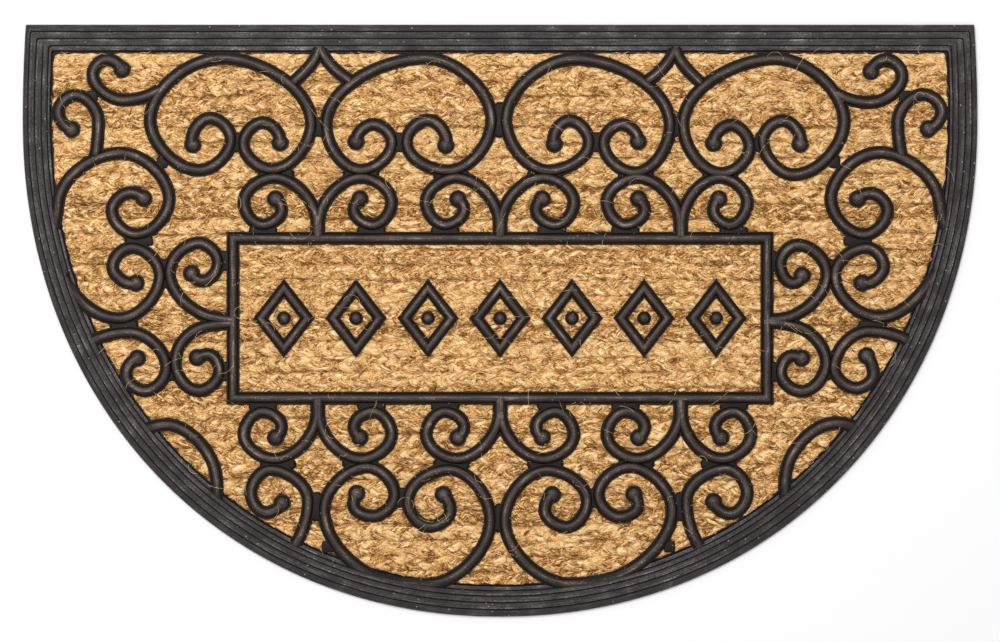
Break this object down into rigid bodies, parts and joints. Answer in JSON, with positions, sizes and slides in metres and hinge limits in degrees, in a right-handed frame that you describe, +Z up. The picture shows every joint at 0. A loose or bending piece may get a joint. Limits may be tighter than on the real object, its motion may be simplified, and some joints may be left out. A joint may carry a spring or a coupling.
{
  "type": "coir doormat",
  "caption": "Half-round doormat of braided coir in a stepped rubber border, with raised rubber scrollwork around a framed panel of lozenges.",
  "frame": {"origin": "on the floor, under the middle of the mat's box", "axes": "+X along the straight edge, +Y towards the straight edge, +Z up out of the mat's face"},
  "size_m": [0.75, 0.465, 0.012],
  "materials": {
    "border_rubber": "matte, moulded, dusty",
    "bar_rubber": "matte, moulded, with a soft sheen on the ridges",
    "coir": "coarse plaited fibre"
  },
  "bodies": {
    "root": {"rubber_tray": "border_rubber", "coir_field": "coir", "scrollwork": "bar_rubber", "arc_left": "bar_rubber", "arc_right": "bar_rubber", "lozenge_1": "bar_rubber", "lozenge_2": "bar_rubber", "lozenge_3": "bar_rubber", "lozenge_4": "bar_rubber", "lozenge_5": "bar_rubber", "lozenge_6": "bar_rubber", "lozenge_7": "bar_rubber", "lozenge_stud_1": "bar_rubber", "lozenge_stud_2": "bar_rubber", "lozenge_stud_3": "bar_rubber", "lozenge_stud_4": "bar_rubber", "lozenge_stud_5": "bar_rubber", "lozenge_stud_6": "bar_rubber", "lozenge_stud_7": "bar_rubber"}
  },
  "joints": []
}
